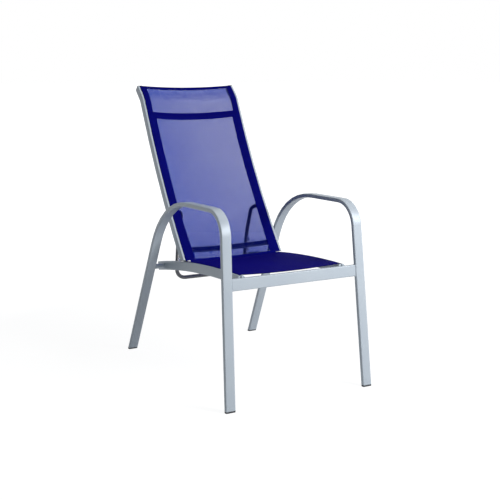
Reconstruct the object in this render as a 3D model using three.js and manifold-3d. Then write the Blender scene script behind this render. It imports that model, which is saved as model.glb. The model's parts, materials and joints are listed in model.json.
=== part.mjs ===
// A reclining patio armchair with a stretched cloth seat and back. Its sling rails hold the cloth by spline
// rods, and a hoop under the back hooks over a bar behind the seat to set the angle. X runs across the
// chair, to the sitter's left, -Y is the front and Z is up; the origin is on the floor, under the middle.
import * as THREE from "three";
import { mergeVertices } from "three/addons/utils/BufferGeometryUtils.js";
import Module from "manifold-3d";

const wasm = await Module();
wasm.setup();

// Sizes are in millimetres and angles in degrees.
const seat_gap = 0.3; // left between pieces that touch
const overrun = 40; // how far a cutting block reaches past what it cuts
const bend_step = 9; // turn between two rings of a bent tube
const seat_ring_turn = 1.3; // the same on the seat rails' bow
const back_ring_turn = 2.5; // and on the back rails

// Side frames: one flat tube each, bent to a front leg, an arm and a rear leg
const foot_width = 600; // across the outer faces, on the floor
const foot_depth = 859.5; // from the front feet's front to the rear feet's rear, on the floor
const arm_height = 672.3; // where the lines of the arm's top and the front leg's front meet
const frame_wide = 37;
const frame_thick = 15;
const frame_corner = 4;
const frame_wall = 1.8;
const front_bend = 97; // outer radius
const rear_bend = 326; // outer radius
const front_leg_lean = 6.3;
const rear_leg_lean = 25.1;
const arm_fall = 1.4;
const frame_lean = 1.68; // each side frame leans inwards

// Foot plugs
const plug_height = 6;
const plug_stem = 22;
const plug_clearance = 0.35;

// Front rail, welded between the front legs
const front_rail_drop = 44; // of its bottom, below the cloth face of the seat rails
const front_rail_tall = 41;
const front_rail_deep = 20;
const front_rail_setback = 2.5; // behind the front legs' faces
const front_rail_corner = 3;
const front_rail_wall = 1.8;

// Sling rails: a hollow box with a round groove under the cloth face
const rail_room = 48; // from the legs' inner faces on the floor to the rails' outer faces
const rail_wide = 22;
const rail_corner = 3;
const rail_wall = 2;
const groove_radius = 3.9;
const groove_mouth = 3.4;
const groove_lip = 2.4; // from the cloth face down to the groove's bore
const groove_from_outside = 10; // to the groove's middle

// Seat rails
const seat_rail_tall = 34;
const seat_front_height = 448;
const seat_front_fall = 0.3; // slope at the front rail
const seat_bow = 3400; // radius of the cloth face
const seat_rail_tail = 52; // past the rear bolt

// Back rails, from the seat upwards
const back_ahead = 187.5; // from the rear bolt forwards to the back's cloth face, along the seat rail
const back_rail_deep = 28.8;
const back_rise = 52; // slope at the foot
const back_bow_length = 667;
const back_bow = 3185; // radius of the cloth face
const head_rise = 18;
const head_bend = 110; // radius of the cloth face
const head_curl = 20.5;
const head_reach = 42;
const back_foot_gap = 4.5; // between the seat rail and the back rail's lower cap

// Caps of the rails
const cap_thick = 2.2;
const cap_stem = 12;
const cap_clearance = 0.3;

// Slings and spline rods
const cloth = 1.6;
const cloth_lift = 0.4;
const hem_radius = 3.4; // of the loop round the spline rod
const spline_radius = 2;
const seat_sag = 5;
const back_sag = 30; // where it is deepest
const back_deepest = 400; // place of that, along the back rail
const back_sag_shares = [0.27, 0.4, 0.7, 1, 0.83, 0.33]; // foot, lower bar, hoop, deepest, upper bar, head
const seat_cloth_front = 11.5; // behind the rail's front end
const seat_cloth_ahead = 7; // its rear edge, ahead of the back's cloth face
const back_cloth_drop = 8; // below the seat's cloth face, between the seat rails
const back_cloth_aside = 1; // from there to the hinge lugs
const back_cloth_head = 1.5; // below the rail's upper end

// Crossbars of the back
const upper_bar_radius = 10;
const upper_bar_place = 634; // along the back rail
const lower_bar_radius = 10.5;
const lower_bar_place = 56;
const bar_wall = 1.5;

// Hinges between the seat rails and the back rails
const recline_full = 30;
const lug_thick = 4;
const lug_radius = 12;
const lug_head_radius = 11;
const lug_head_place = 74; // along the back rail
const bolt_radius = 4;
const bolt_clearance = 0.3;
const bolt_head_radius = 7;
const bolt_head_thick = 4.5;
const bolt_reach = 7; // past the wall that it screws into

// Spacers between the seat rails and the rear legs
const spacer_radius = 10;

// Recline hoop, a round tube that hangs from the back rails
const hoop_radius = 7.75;
const hoop_wall = 1.5;
const hoop_place = 219; // of its pivot, along the back rail
const hoop_depth = 17.5; // of its pivot, behind the cloth face
const hoop_end = 16.9; // straight run at each open end, beside the stub's flange
const hoop_narrowing = 4; // of each arm, from the pivot to the foot
const hoop_knee_drop = 98;
const hoop_knee_back = 34;
const hoop_shin_drop = 177;
const hoop_shin_back = 25;
const hoop_top_bend = 18;
const hoop_knee_bend = 60;
const hoop_foot_bend = 38;
const stub_flange_radius = 9;
const stub_flange_thick = 2.5;
const stub_clearance = 0.4;
const stub_end_gap = 4.2; // from the stub's tip to the hoop's first bend

// Catch bar between the seat rails, and the racks that hook over it
const catch_radius = 6;
const catch_clearance = 8; // from the racks' tips, with the back upright
const rack_thick = 5;
const rack_web = 2.8;
const rack_notches = 4;
const notch_clearance = 0.3;
const tooth_thick = 3.4;
const tooth_slope = 6;
const tip_thick = 3.4;
const tip_lip = 2; // the tips stop this far above the bar's middle

const rad = THREE.MathUtils.degToRad;
const across = new THREE.Vector3(1, 0, 0);

const silver = new THREE.MeshStandardMaterial({ color: 0xc8d2da, roughness: 0.38, metalness: 0.75 });
const steel = new THREE.MeshStandardMaterial({ color: 0x9a9da2, roughness: 0.35, metalness: 0.9 });
const hoop_paint = new THREE.MeshStandardMaterial({ color: 0x74777d, roughness: 0.4, metalness: 0.6 });
const plastic = new THREE.MeshStandardMaterial({ color: 0x30333a, roughness: 0.6, metalness: 0 });
const seat_cloth = new THREE.MeshStandardMaterial({ color: 0x14108c, roughness: 0.8, metalness: 0 });
const back_cloth = new THREE.MeshStandardMaterial({ color: 0x2a2fa6, roughness: 0.8, metalness: 0 });

// A line in the Y-Z plane made of straight runs and bends, each with its length and its turn.
class Trace {
  constructor(y, z, heading, runs) {
    this.runs = [];
    this.length = 0;
    for (const { length, turn } of runs) {
      this.runs.push({ from: this.length, length, turn, y, z, heading });
      ({ y, z } = Trace.along({ y, z, heading, length, turn }, length));
      heading += turn;
      this.length += length;
    }
  }

  static along({ y, z, heading, length, turn }, s) {
    const half = (turn * s) / length / 2;
    const chord = half ? (s * Math.sin(half)) / half : s;
    return { y: y + chord * Math.cos(heading + half), z: z + chord * Math.sin(heading + half) };
  }

  // The point at a distance along the line and a depth behind it, and the line's direction there.
  at(s, depth = 0) {
    const run = this.runs.findLast((r) => s >= r.from) ?? this.runs[0];
    const past = s - run.from;
    const { y, z } = Trace.along(run, past);
    const heading = run.heading + (run.turn * past) / run.length;
    const way = new THREE.Vector3(0, Math.cos(heading), Math.sin(heading));
    const inward = new THREE.Vector3(0, way.z, -way.y);
    return { s, at: new THREE.Vector3(0, y, z).addScaledVector(inward, depth), way, inward, heading };
  }

  // Places for the rings of a tube between two distances: the ends of each run, steps along a bend, and
  // the ends of what lies on the tube, so that both have the same facets.
  rings(from, to, step = bend_step, ends = []) {
    const stops = [from, ...ends];
    for (const run of this.runs) {
      const count = Math.max(1, Math.ceil(Math.abs(run.turn) / rad(step)));
      for (let i = 0; i <= count; i++) stops.push(run.from + (run.length * i) / count);
    }
    stops.sort((a, b) => a - b);
    const inside = stops.filter((s) => s >= from && s < to - seat_gap);
    const apart = inside.filter((s, i) => i === 0 || s > inside[i - 1] + seat_gap);
    return [...apart, to].map((s) => this.at(s));
  }
}

const straight = (length) => ({ length, turn: 0 });
const bend = (radius, turn) => ({ length: radius * Math.abs(turn), turn });
const bow = (length, radius) => ({ length, turn: length / radius });

// Rings along corners in space, each corner rounded to its radius.
function bent(corners, radii, step = bend_step) {
  const rings = [];
  corners.forEach((corner, i) => {
    const before = corners[i - 1] && corner.clone().sub(corners[i - 1]).normalize();
    const after = corners[i + 1] && corners[i + 1].clone().sub(corner).normalize();
    if (!before || !after) {
      rings.push({ at: corner, way: before ?? after });
      return;
    }
    const turn = before.angleTo(after);
    const reach = radii[i - 1] * Math.tan(turn / 2);
    const axis = before.clone().cross(after).normalize();
    const start = corner.clone().addScaledVector(before, -reach);
    const middle = start.clone().addScaledVector(axis.clone().cross(before), radii[i - 1]);
    const count = Math.ceil(turn / rad(step));
    for (let k = 0; k <= count; k++) {
      const part = (turn * k) / count;
      const at = start.clone().sub(middle).applyAxisAngle(axis, part).add(middle);
      rings.push({ at, way: before.clone().applyAxisAngle(axis, part) });
    }
  });
  return rings;
}

// A curve that steps from ring to ring; with a side given, a section's first axis stays along that side.
class Rings extends THREE.Curve {
  constructor(rings, side) {
    super();
    Object.assign(this, { rings, side });
  }

  ring(u) {
    return this.rings[Math.round(u * (this.rings.length - 1))];
  }

  getPointAt(u, target = new THREE.Vector3()) {
    return target.copy(this.ring(u).at);
  }

  getTangentAt(u, target = new THREE.Vector3()) {
    return target.copy(this.ring(u).way);
  }

  computeFrenetFrames(steps, closed) {
    if (!this.side) return super.computeFrenetFrames(steps, closed);
    const tangents = this.rings.map((r) => r.way.clone());
    const normals = this.rings.map(() => this.side.clone());
    return { tangents, normals, binormals: tangents.map((t) => t.clone().cross(this.side)) };
  }
}

function sweep(section, rings, side) {
  const extrudePath = new Rings(rings, side);
  return new THREE.ExtrudeGeometry(section, { steps: rings.length - 1, extrudePath });
}

const arc = (x, y, radius, from, to, count) =>
  Array.from({ length: count + 1 }, (_, i) => {
    const angle = rad(from + ((to - from) * i) / count);
    return new THREE.Vector2(x + radius * Math.cos(angle), y + radius * Math.sin(angle));
  });
const circle = (x, y, radius, count) => arc(x, y, radius, 0, 360, count).slice(0, -1);

function rounded(x0, y0, x1, y1, radius) {
  return [
    ...arc(x1 - radius, y0 + radius, radius, -90, 0, 3),
    ...arc(x1 - radius, y1 - radius, radius, 0, 90, 3),
    ...arc(x0 + radius, y1 - radius, radius, 90, 180, 3),
    ...arc(x0 + radius, y0 + radius, radius, 180, 270, 3),
  ];
}

function shape(outline, ...holes) {
  const made = new THREE.Shape(outline);
  made.holes = holes.map((hole) => new THREE.Path(hole));
  return made;
}

// A flat piece between two values of X, from an outline in Y and Z.
function plate(section, x0, x1) {
  const made = new THREE.ExtrudeGeometry(section, { depth: x1 - x0, bevelEnabled: false });
  const axes = [new THREE.Vector3(0, 1, 0), new THREE.Vector3(0, 0, 1), across];
  return made.applyMatrix4(new THREE.Matrix4().makeBasis(...axes)).translate(x0, 0, 0);
}

function block(x0, x1, y0, y1, z0, z1) {
  const made = new THREE.BoxGeometry(x1 - x0, y1 - y0, z1 - z0);
  return made.translate((x0 + x1) / 2, (y0 + y1) / 2, (z0 + z1) / 2);
}

// A turned piece whose axis runs along X through a point: its profile is a list of radius and X.
function turned(profile, point, sides = 20) {
  const points = profile.map(([radius, x]) => new THREE.Vector2(radius, x));
  const made = new THREE.LatheGeometry(points, sides);
  return made.rotateZ(-Math.PI / 2).translate(0, point.y, point.z);
}
const drill = (radius, x0, x1, point) =>
  turned([[0, x0], [radius, x0], [radius, x1], [0, x1]], point);

function solid(geometry) {
  const bare = geometry.clone().deleteAttribute("normal").deleteAttribute("uv");
  const merged = mergeVertices(bare, 1e-3);
  const triVerts = new Uint32Array(merged.index.array);
  const vertProperties = merged.attributes.position.array;
  return new wasm.Manifold(new wasm.Mesh({ numProp: 3, vertProperties, triVerts }));
}

function geometry_of(made) {
  const { vertProperties, triVerts } = made.getMesh();
  const geometry = new THREE.BufferGeometry();
  geometry.setAttribute("position", new THREE.BufferAttribute(vertProperties, 3));
  geometry.setIndex(new THREE.BufferAttribute(triVerts, 1));
  return geometry;
}
const cut = (body, ...tools) =>
  geometry_of(tools.reduce((left, tool) => left.subtract(solid(tool)), solid(body)));
const join = (body, ...others) =>
  geometry_of(others.reduce((sum, other) => sum.add(solid(other)), solid(body)));
const common = (body, other) => geometry_of(solid(body).intersect(solid(other)));

// The place between two bounds where a rising or falling value crosses zero.
function where(value, low, high) {
  const rising = value(high) > value(low);
  for (let i = 0; i < 50; i++) {
    const middle = (low + high) / 2;
    if (value(middle) > 0 === rising) high = middle;
    else low = middle;
  }
  return (low + high) / 2;
}

// The outer line of a side frame, from the front foot over the arm to the rear foot
const front_lean = rad(front_leg_lean);
const rear_lean = rad(rear_leg_lean);
const fall = rad(arm_fall);
const front_turn = Math.PI / 2 - front_lean + fall;
const rear_turn = Math.PI / 2 - rear_lean - fall;
const front_reach = front_bend * Math.tan(front_turn / 2);
const rear_reach = rear_bend * Math.tan(rear_turn / 2);
const corner_run =
  (foot_depth - arm_height * (Math.tan(rear_lean) + Math.tan(front_lean))) /
  (Math.cos(fall) - Math.sin(fall) * Math.tan(rear_lean));
const rear_corner_height = arm_height - corner_run * Math.sin(fall);
const frame_line = new Trace(0, 0, Math.PI / 2 - front_lean, [
  straight(arm_height / Math.cos(front_lean) - front_reach),
  bend(front_bend, -front_turn),
  straight(corner_run - front_reach - rear_reach),
  bend(rear_bend, -rear_turn),
  straight(rear_corner_height / Math.cos(rear_lean) - rear_reach),
]);

// The height of a point above the floor pushes it inwards, on the sitter's left side.
function leaned(geometry) {
  return geometry.applyMatrix4(new THREE.Matrix4().makeShear(0, 0, 0, 0, -Math.tan(rad(frame_lean)), 0));
}
const frame_inside = (z) => foot_width / 2 - frame_wide - z * Math.tan(rad(frame_lean));

function frame_section(shrink) {
  const outer = foot_width / 2 - shrink;
  const inner = foot_width / 2 - frame_wide + shrink;
  const radius = Math.max(frame_corner - shrink, frame_corner / 4);
  return rounded(inner, shrink, outer, frame_thick - shrink, radius);
}

function frame_bar(section) {
  return sweep(section, frame_line.rings(-overrun, frame_line.length + overrun), across);
}

// A slab of the room between two heights, in front of the chair's middle or behind it.
function layer(low, high, rear) {
  const middle = foot_depth / 2;
  const y = rear ? [middle, foot_depth + middle] : [-middle, middle];
  return block(0, foot_width, ...y, low, high);
}

function side_frame() {
  const hollow = frame_section(frame_wall);
  const tube = frame_bar(shape(frame_section(0), hollow));
  const floor = block(0, foot_width, -foot_depth, 2 * foot_depth, -foot_depth, plug_height);
  return cut(leaned(tube), floor, drill(bolt_radius + bolt_clearance, rail_outer, leg_bolt_end, rear_bolt));
}

function foot_plug(rear) {
  const sole = common(frame_bar(shape(frame_section(0))), layer(0, plug_height - seat_gap, rear));
  const stem_section = shape(frame_section(frame_wall + plug_clearance));
  const stem = common(frame_bar(stem_section), layer(plug_height / 2, plug_height + plug_stem, rear));
  return leaned(join(sole, stem));
}

// The front rail follows the front legs' lean, from a depth behind their faces and a height along them.
function beside_leg(outline) {
  const foot = frame_line.at((seat_front_height - front_rail_drop) / Math.cos(front_lean));
  return outline.map(({ x, y }) => {
    const p = foot.at.clone().addScaledVector(foot.inward, x).addScaledVector(foot.way, y);
    return new THREE.Vector2(p.y, p.z);
  });
}
const front_rail_rear = front_rail_setback + front_rail_deep;

function front_rail() {
  const section = (shrink, radius) => {
    const low = [front_rail_setback + shrink, shrink];
    return beside_leg(rounded(...low, front_rail_rear - shrink, front_rail_tall - shrink, radius));
  };
  const tube = plate(
    shape(section(0, front_rail_corner), section(front_rail_wall, front_rail_corner - front_rail_wall)),
    -foot_width / 2,
    foot_width / 2,
  );
  const inner = foot_width / 2 - frame_wide - seat_gap;
  const past_leg = () => leaned(block(inner, foot_width, -foot_depth, foot_depth, 0, arm_height));
  return cut(tube, past_leg(), mirrored(past_leg()));
}

function mirrored(geometry) {
  const flipped = (geometry.index ? geometry.toNonIndexed() : geometry.clone()).scale(-1, 1, 1);
  const { array } = flipped.attributes.position;
  for (let i = 0; i < array.length; i += 9)
    for (let k = 0; k < 3; k++) [array[i + k], array[i + 3 + k]] = [array[i + 3 + k], array[i + k]];
  return flipped;
}

// Sling rails: sections in X and in depth behind the cloth face
const rail_outer = foot_width / 2 - frame_wide - rail_room;
const rail_inner = rail_outer - rail_wide;
const groove_x = rail_outer - groove_from_outside;
const groove_depth = groove_lip + groove_radius;
const chamber_top = groove_depth + groove_radius + rail_wall * 0.8;

function rail_outline(deep, grooved) {
  const [right, bottom, left, top] = [0, 90, 180, 270].map((from) => {
    const x = from < 90 || from === 270 ? rail_outer - rail_corner : rail_inner + rail_corner;
    const y = from < 180 ? deep - rail_corner : rail_corner;
    return arc(x, y, rail_corner, from, from + 90, 3);
  });
  if (!grooved) return [...right, ...bottom, ...left, ...top];
  const opening = THREE.MathUtils.radToDeg(Math.asin(groove_mouth / 2 / groove_radius));
  return [
    ...right,
    ...bottom,
    ...left,
    new THREE.Vector2(groove_x - groove_mouth / 2, 0),
    ...arc(groove_x, groove_depth, groove_radius, -90 - opening, -450 + opening, 12),
    new THREE.Vector2(groove_x + groove_mouth / 2, 0),
    ...top,
  ];
}

function rail_chamber(deep, shrink) {
  const edge = rail_wall + shrink;
  const low = new THREE.Vector2(rail_inner + edge, chamber_top + shrink);
  const high = new THREE.Vector2(rail_outer - edge, deep - edge);
  return [low, new THREE.Vector2(high.x, low.y), high, new THREE.Vector2(low.x, high.y)];
}

// A rail's plastic cap: a plate over its end, and a stem in its chamber.
function rail_cap(line, deep, end) {
  const from = end + seat_gap;
  const face = sweep(shape(rail_outline(deep, false)), [line.at(from), line.at(from + cap_thick)], across);
  const stem_section = shape(rail_chamber(deep, cap_clearance));
  const stem = sweep(stem_section, [line.at(from - cap_stem), line.at(from + cap_thick / 2)], across);
  return join(face, stem);
}

// The seat rails' cloth face, from the front rail to the rear
const rail_axis = seat_rail_tall / 2;
const seat_start =
  (seat_front_height - rail_axis) * Math.tan(front_lean) + front_rail_rear / Math.cos(front_lean);
const seat_line = new Trace(seat_start, seat_front_height, -rad(seat_front_fall), [
  bow(foot_depth, -seat_bow),
]);
const rear_leg_middle = (z) => {
  const thick = frame_thick / 2 / Math.cos(rear_lean);
  return foot_depth - z * Math.tan(rear_lean) - thick;
};
const rear_bolt_place = where(
  (s) => seat_line.at(s, rail_axis).at.y - rear_leg_middle(seat_line.at(s, rail_axis).at.z),
  0,
  foot_depth,
);
const seat_rail_length = rear_bolt_place + seat_rail_tail;
const back_stand = rear_bolt_place - back_ahead;
const rear_bolt = seat_line.at(rear_bolt_place, rail_axis).at;
const leg_bolt_end = frame_inside(rear_bolt.z) + frame_wall + bolt_reach;

// The back rails' cloth face, from the seat upwards
const back_start = seat_line.at(back_stand);
const back_line = new Trace(back_start.at.y, back_start.at.z, rad(back_rise), [
  bow(back_bow_length, back_bow),
  straight(head_rise),
  bend(head_bend, -rad(head_curl)),
  straight(head_reach),
]);

// The hinge lies under the rear lower corner of the back rails.
const foot_slant = rad(back_rise) - back_start.heading;
const hinge = seat_line.at(back_stand + back_rail_deep / Math.sin(foot_slant), rail_axis).at;

// The hoop's pivot, knee and foot, and the frame of its shin: down along it, and out to its front
const hoop_pivot = back_line.at(hoop_place, hoop_depth).at;
const hoop_knee = hoop_pivot.clone().add(new THREE.Vector3(0, hoop_knee_back, -hoop_knee_drop));
const hoop_foot = hoop_knee.clone().add(new THREE.Vector3(0, hoop_shin_back, -hoop_shin_drop));
const shin_way = hoop_foot.clone().sub(hoop_knee).normalize();
const shin_front = new THREE.Vector3(0, shin_way.z, -shin_way.y);
const on_shin = (p) => ({
  t: p.clone().sub(hoop_knee).dot(shin_way),
  d: p.clone().sub(hoop_knee).dot(shin_front),
});

// The racks' depths in front of the shin's middle, and the catch bar clear of their tips
const notch_radius = catch_radius + notch_clearance;
const rack_back = hoop_radius + seat_gap;
const rack_front = rack_back + rack_web;
const notch_depth = rack_front + notch_radius;
const tip_depth = notch_depth + notch_radius + tip_thick;
const catch_stand = tip_depth + catch_clearance + catch_radius;
const catch_place = where((s) => on_shin(seat_line.at(s, rail_axis).at).d - catch_stand, 0, rear_bolt_place);
const catch_bar_axis = seat_line.at(catch_place, rail_axis).at;

// The notch along the shin that holds the bar when the back has reclined by an angle
function notch_place(recline) {
  const bar = catch_bar_axis.clone().sub(hinge).applyAxisAngle(across, rad(recline)).add(hinge);
  const pivot = on_shin(hoop_pivot);
  return pivot.t + Math.sqrt(bar.distanceToSquared(hoop_pivot) - (notch_depth - pivot.d) ** 2);
}

function seat_rail() {
  const section = shape(rail_outline(seat_rail_tall, true), rail_chamber(seat_rail_tall, 0));
  const bar = sweep(section, seat_line_rings(-overrun, seat_rail_length), across);
  const rear_face = front_rail_rear + seat_gap;
  const ahead = plate(
    shape(beside_leg(rounded(-overrun, -overrun, rear_face, front_rail_tall + overrun, seat_gap))),
    0,
    foot_width,
  );
  const hole = bolt_radius + bolt_clearance;
  return cut(
    bar,
    ahead,
    drill(hole, rail_inner - overrun, rail_outer + overrun, rear_bolt),
    drill(hole, rail_inner - overrun, rail_inner + rail_wall + seat_gap, hinge),
    drill(notch_radius, rail_inner - overrun, rail_inner + rail_wall + seat_gap, catch_bar_axis),
  );
}

// Rings along the seat and along the back: far apart on the long bows, closer in the curl of the head
const seat_cloth_rear = back_stand - seat_cloth_ahead;
const seat_line_rings = (from, to) =>
  seat_line.rings(from, to, seat_ring_turn, [seat_cloth_front, seat_cloth_rear]);
const back_line_rings = (to = back_line.length) => back_line.rings(-overrun, to, back_ring_turn);

// A block that covers all below a height over the seat rails' cloth face, around the foot of the back
function below_back(height, x0 = 0) {
  const from = seat_line.at(back_stand - back_rail_deep, -height);
  const to = seat_line.at(back_stand + 3 * back_rail_deep, -height);
  const corners = [from.at, to.at].flatMap((p) => [p.clone(), p.clone()]);
  corners[0].addScaledVector(from.inward, seat_rail_tall + overrun);
  corners[3].addScaledVector(to.inward, seat_rail_tall + overrun);
  return plate(shape(corners.map((p) => new THREE.Vector2(p.y, p.z))), x0, foot_width);
}
const cap_top = back_foot_gap + cap_thick + seat_gap;

function back_rail() {
  const section = shape(rail_outline(back_rail_deep, true), rail_chamber(back_rail_deep, 0));
  const bar = sweep(section, back_line_rings(), across);
  return cut(
    bar,
    below_back(cap_top),
    drill(bolt_radius + bolt_clearance, rail_inner - overrun, rail_inner + rail_wall + seat_gap, hoop_pivot),
  );
}

// The lower cap follows the seat rail under it, and its stem stands in the back rail's chamber.
function back_rail_foot() {
  const bar = (outline) => sweep(shape(outline), back_line_rings(), across);
  const face = cut(bar(rail_outline(back_rail_deep, false)), below_back(back_foot_gap));
  const sole = common(face, below_back(back_foot_gap + cap_thick));
  const stem = bar(rail_chamber(back_rail_deep, cap_clearance));
  const low = cut(stem, below_back(back_foot_gap + cap_thick / 2));
  return join(sole, common(low, below_back(back_foot_gap + cap_thick + cap_stem)));
}

// How far the cloth of the back hangs in its middle, at a distance along the rails
const back_sag_stops = [0, lower_bar_place, hoop_place, back_deepest, upper_bar_place, back_line.length];
const back_sag_curve = new THREE.CubicInterpolant(back_sag_stops, back_sag_shares, 1);
const back_sag_at = (s) => back_sag * back_sag_curve.evaluate(s)[0];

// Half of a sling's section, from the middle of its face over the rail into the groove and back
function sling_half() {
  const top = -(cloth_lift + cloth);
  const opening = THREE.MathUtils.radToDeg(Math.asin(cloth / 2 / hem_radius));
  const spans = [0, 1, 2, 3, 4].map((i) => (rail_inner * i) / 4);
  return [
    ...spans.map((x) => new THREE.Vector2(x, top)),
    new THREE.Vector2(groove_x, top),
    new THREE.Vector2(groove_x + cloth / 2, top + cloth / 2),
    ...arc(groove_x, groove_depth, hem_radius, -90 + opening, 270 - opening, 9),
    new THREE.Vector2(groove_x - cloth / 2, top + cloth),
    ...spans.reverse().map((x) => new THREE.Vector2(x, top + cloth)),
  ];
}

// A sling swept flat between the rails, whose middle then hangs by an amount that follows the line
function sling(rings, sag_at) {
  const half = sling_half();
  const other = half.slice(1, -1).reverse();
  const outline = [...half, ...other.map(({ x, y }) => new THREE.Vector2(-x, y))];
  const bore = spline_radius + seat_gap;
  const bores = [groove_x, -groove_x].map((x) => circle(x, groove_depth, bore, 8));
  const made = sweep(shape(outline, ...bores), rings, across);
  const places = made.attributes.position;
  const p = new THREE.Vector3();
  for (let i = 0; i < places.count; i++) {
    p.fromBufferAttribute(places, i);
    const along = (ring) => Math.abs(p.clone().sub(ring.at).dot(ring.way));
    const ring = rings.reduce((best, next) => (along(next) < along(best) ? next : best));
    const hang = Math.max(0, 1 - (p.x / rail_inner) ** 2);
    p.addScaledVector(ring.inward, sag_at(ring.s) * hang);
    places.setXYZ(i, p.x, p.y, p.z);
  }
  return made;
}

const spline_rod = (rings) => sweep(shape(circle(groove_x, groove_depth, spline_radius, 8)), rings, across);
const seat_cloth_rings = () => seat_line_rings(seat_cloth_front, seat_cloth_rear);
const back_cloth_rings = () => back_line_rings(back_line.length - back_cloth_head);

// The back's cloth ends over the caps of its rails, and between the seat rails a little lower.
function back_sling() {
  const beside = () => below_back(cap_top + seat_gap, lug_inner - back_cloth_aside);
  return cut(
    sling(back_cloth_rings(), back_sag_at),
    below_back(-back_cloth_drop, -foot_width),
    beside(),
    mirrored(beside()),
  );
}

const pipe = (radius, wall, sides) =>
  shape(circle(0, 0, radius, sides), circle(0, 0, radius - wall, sides));

// A round bar across the back, bowed rearwards as the cloth in front of it is
function crossbar(place, radius, half_width) {
  const { at, way, inward } = back_line.at(place, back_rail_deep / 2);
  const sag = back_sag_at(place);
  const rings = [-4, -3, -2, -1, 0, 1, 2, 3, 4].map((i) => {
    const share = i / 4;
    const middle = at.clone().addScaledVector(inward, sag * (1 - share ** 2));
    const slope = across.clone().multiplyScalar(half_width).addScaledVector(inward, -2 * sag * share);
    return { at: middle.addScaledVector(across, share * half_width), way: slope.normalize() };
  });
  rings[0].way = rings[8].way = across;
  return sweep(pipe(radius, bar_wall, 14), rings, way);
}

// A flat lug on the back rail's inner face, from the hinge up past the lower crossbar
const lug_outer = rail_inner - seat_gap;
const lug_inner = lug_outer - lug_thick;

function hinge_lug() {
  const head = back_line.at(lug_head_place, back_rail_deep / 2).at;
  const way = head.clone().sub(hinge);
  const angle = THREE.MathUtils.radToDeg(Math.atan2(way.z, way.y));
  const flare = THREE.MathUtils.radToDeg(Math.asin((lug_radius - lug_head_radius) / way.length()));
  const outline = [
    ...arc(hinge.y, hinge.z, lug_radius, angle + 90 - flare, angle + 270 + flare, 14),
    ...arc(head.y, head.z, lug_head_radius, angle - 90 + flare, angle + 90 - flare, 10),
  ];
  const hole = circle(hinge.y, hinge.z, bolt_radius + bolt_clearance, 20);
  return plate(shape(outline, hole), lug_inner, lug_outer);
}

// A domed bolt whose head lies on a face and whose shank runs outwards
function bolt(face, end, point) {
  const from = face - seat_gap;
  const crown = from - bolt_head_thick;
  const profile = [
    [0, crown],
    [bolt_head_radius * 0.6, crown + bolt_head_thick * 0.15],
    [bolt_head_radius, crown + bolt_head_thick * 0.6],
    [bolt_head_radius, from],
    [bolt_radius, from],
    [bolt_radius, end - bolt_radius / 4],
    [bolt_radius * 0.75, end],
    [0, end],
  ];
  return turned(profile, point);
}

// A sleeve from the seat rail to the leaned inner face of the rear leg
function rear_spacer() {
  const bore = bolt_radius + bolt_clearance;
  const from = rail_outer + seat_gap;
  const profile = [
    [bore, from],
    [spacer_radius, from],
    [spacer_radius, foot_width / 2],
    [bore, foot_width / 2],
    [bore, from],
  ];
  const inner = foot_width / 2 - frame_wide - seat_gap;
  const past_leg = leaned(block(inner, foot_width, 0, 2 * foot_depth, 0, arm_height));
  return cut(turned(profile, rear_bolt), past_leg);
}

// The hoop's open ends start beside the stubs' flanges, which sets its arms' places.
const stub_face = rail_inner - seat_gap - stub_flange_thick;
const hoop_arm_x = stub_face - seat_gap - hoop_end - hoop_top_bend;
const hoop_foot_x = hoop_arm_x - hoop_narrowing;
const stub_reach = hoop_end + seat_gap - stub_end_gap;

function recline_hoop() {
  const side = (sign) => [
    new THREE.Vector3(sign * (stub_face - seat_gap), hoop_pivot.y, hoop_pivot.z),
    new THREE.Vector3(sign * hoop_arm_x, hoop_pivot.y, hoop_pivot.z),
    new THREE.Vector3(sign * hoop_arm_x, hoop_knee.y, hoop_knee.z),
    new THREE.Vector3(sign * hoop_foot_x, hoop_foot.y, hoop_foot.z),
  ];
  const radii = [hoop_top_bend, hoop_knee_bend, hoop_foot_bend];
  const rings = bent([...side(-1), ...side(1).reverse()], [...radii, ...radii.toReversed()], 15);
  return sweep(pipe(hoop_radius, hoop_wall, 12), rings);
}

// A stub that the hoop's end turns on: a shank in the rail's wall, a flange, and a round spigot
function hoop_stub() {
  const spigot = (hoop_radius - hoop_wall) * Math.cos(Math.PI / 12) - stub_clearance;
  const flange = rail_inner - seat_gap;
  const profile = [
    [0, stub_face - stub_reach],
    [spigot * 0.8, stub_face - stub_reach],
    [spigot, stub_face - stub_reach + spigot * 0.2],
    [spigot, stub_face],
    [stub_flange_radius, stub_face],
    [stub_flange_radius, flange],
    [bolt_radius, flange],
    [bolt_radius, flange + rail_wall + bolt_reach],
    [0, flange + rail_wall + bolt_reach],
  ];
  return turned(profile, hoop_pivot);
}

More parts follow.
